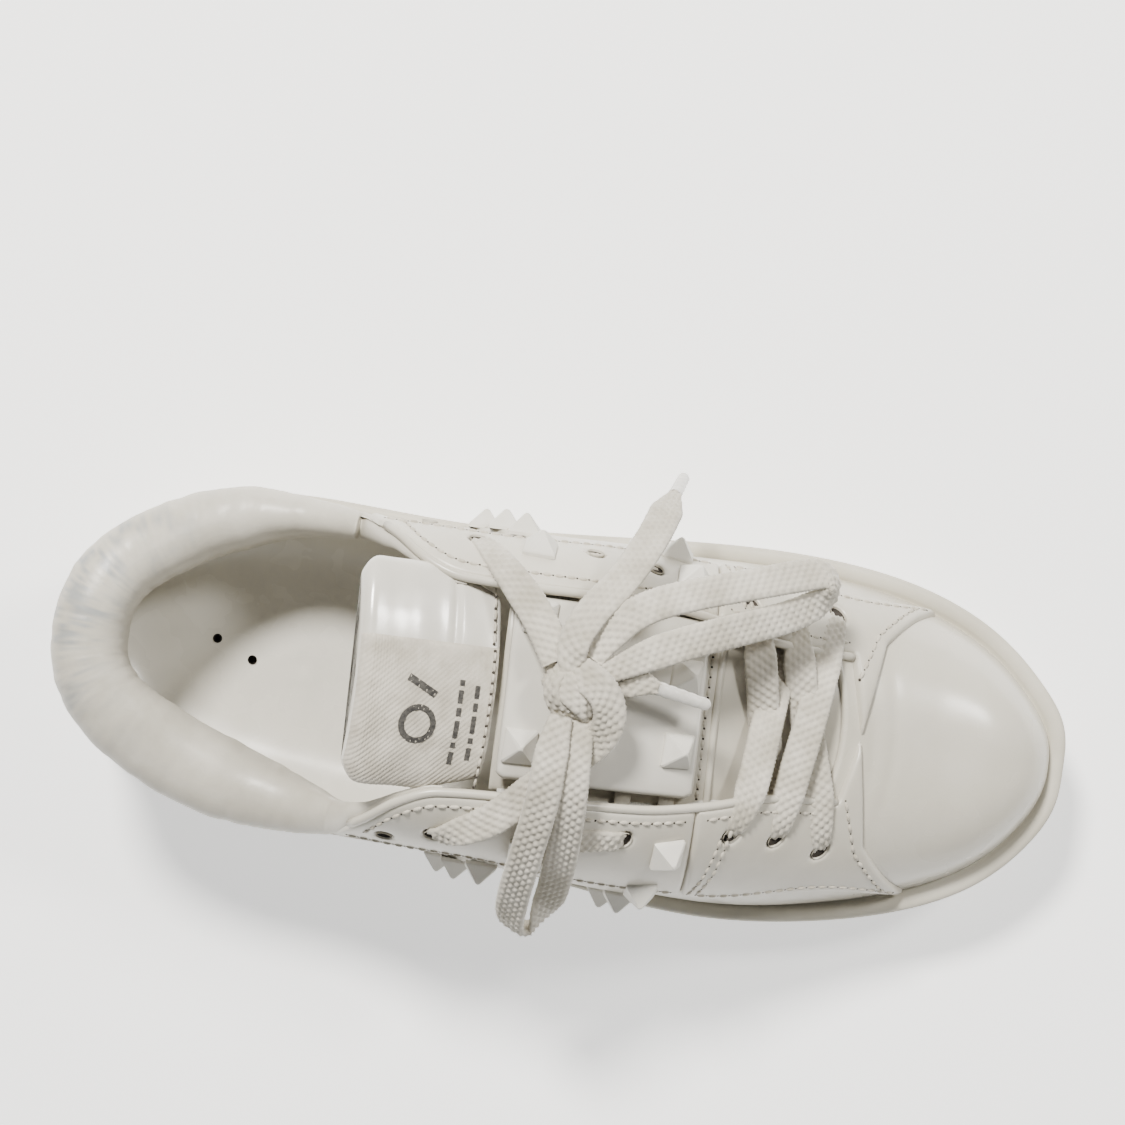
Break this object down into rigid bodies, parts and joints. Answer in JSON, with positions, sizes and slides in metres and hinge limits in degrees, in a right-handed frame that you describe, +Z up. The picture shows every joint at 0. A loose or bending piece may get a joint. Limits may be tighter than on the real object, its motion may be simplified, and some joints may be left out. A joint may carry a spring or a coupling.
{
  "type": "court shoe",
  "caption": "Low-top leather court shoe for the right foot, with a cup sole, studded side straps and a tied flat lace.",
  "frame": {"origin": "on the ground, under the flat middle of the sole, halfway along the shoe's length and on the line from heel to toe", "axes": "+X towards the toe, +Y towards the inner (medial) side of this right shoe, +Z up"},
  "size_m": [0.292, 0.1333, 0.1262],
  "materials": {
    "upper_leather": "smooth off-white, soft satin",
    "overlay_leather": "smooth off-white, satin",
    "cupsole_rubber": "matt creamy white",
    "padding_foam": "open foam",
    "stiffener_board": "pressed fibre",
    "footbed_cover": "slightly glossy, perforated",
    "lining_textile": "matt knit",
    "stud_plastic": "matt white",
    "lace_webbing": "flat braid",
    "aglet_plastic": "clear film over braid",
    "label_twill": "woven twill"
  },
  "bodies": {
    "shoe": {"aglet_front": "aglet_plastic", "aglet_medial": "aglet_plastic", "backer_lateral": "stiffener_board", "backer_medial": "stiffener_board", "bow_knot": "lace_webbing", "bow_lateral": "lace_webbing", "bow_medial": "lace_webbing", "collar_cover": "upper_leather", "collar_foam": "padding_foam", "eyestay_front_lateral": "overlay_leather", "eyestay_front_medial": "overlay_leather", "eyestay_rear_lateral": "overlay_leather", "eyestay_rear_medial": "overlay_leather", "footbed": "footbed_cover", "heel_counter": "stiffener_board", "heel_patch": "overlay_leather", "lace": "lace_webbing", "lasting_board": "stiffener_board", "midsole_insert": "padding_foam", "outsole_cup": "cupsole_rubber", "quarter_lateral": "upper_leather", "quarter_lining_lateral": "lining_textile", "quarter_lining_medial": "lining_textile", "quarter_medial": "upper_leather", "stud_strap_lateral": "overlay_leather", "stud_strap_medial": "overlay_leather", "studs_lateral": "stud_plastic", "studs_medial": "stud_plastic", "studs_tongue": "stud_plastic", "toe_puff": "stiffener_board", "tongue_base": "upper_leather", "tongue_lining": "lining_textile", "tongue_pad": "padding_foam", "tongue_strap": "overlay_leather", "vamp": "upper_leather", "vamp_lining": "lining_textile"},
    "tongue_top": {"tongue_top_cover": "upper_leather", "tongue_top_foam": "padding_foam", "tongue_top_lining": "lining_textile", "tongue_label": "label_twill"}
  },
  "joints": [
    {"name": "tongue_top_fold", "type": "hinge", "parent": "shoe", "child": "tongue_top", "pos_m": [-0.0184, 0.0015, 0.0985], "axis": [0, 1, 0], "range_deg": [-10, 25], "stiffness_Nm_per_rad": 0.1}
  ]
}
